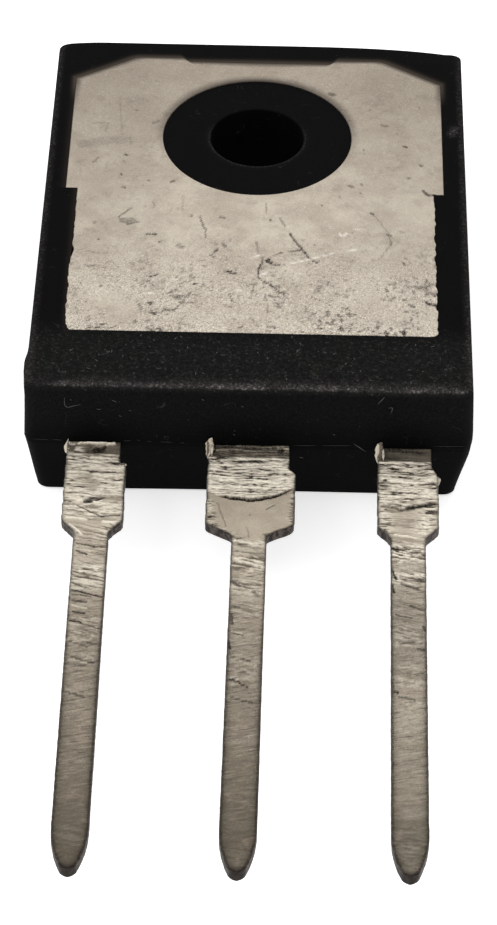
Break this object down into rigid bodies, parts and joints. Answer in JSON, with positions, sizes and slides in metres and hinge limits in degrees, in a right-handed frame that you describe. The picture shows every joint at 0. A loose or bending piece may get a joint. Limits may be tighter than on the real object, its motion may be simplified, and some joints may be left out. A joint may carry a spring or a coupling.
{
  "type": "power transistor",
  "caption": "Three-lead power transistor in a flat black moulded package with a bare metal back and a mounting hole, lying on its front face.",
  "frame": {"origin": "on the axis of the mounting hole, in the plane of the front face, on which the part lies", "axes": "+Z is the outward normal of the bare metal back, -Y is the way the leads point, +X is across the leads"},
  "size_m": [0.0158, 0.0406, 0.005],
  "materials": {
    "mould_compound": "near-black filled epoxy, matt, dusty",
    "tinned_copper_tab": "tin-plated copper, dull, scratched",
    "tinned_lead": "tin-plated copper, scraped near the body",
    "solder": "dull soft solder",
    "silicon": "polished silicon",
    "bond_wire": "drawn bare aluminium"
  },
  "bodies": {
    "root": {"moulded_body": "mould_compound", "heat_spreader_tab": "tinned_copper_tab", "drain_lead": "tinned_lead", "gate_lead": "tinned_lead", "source_lead": "tinned_lead", "die_attach_solder": "solder", "silicon_chip": "silicon", "gate_bond_wire": "bond_wire", "source_bond_wires": "bond_wire"}
  },
  "joints": []
}
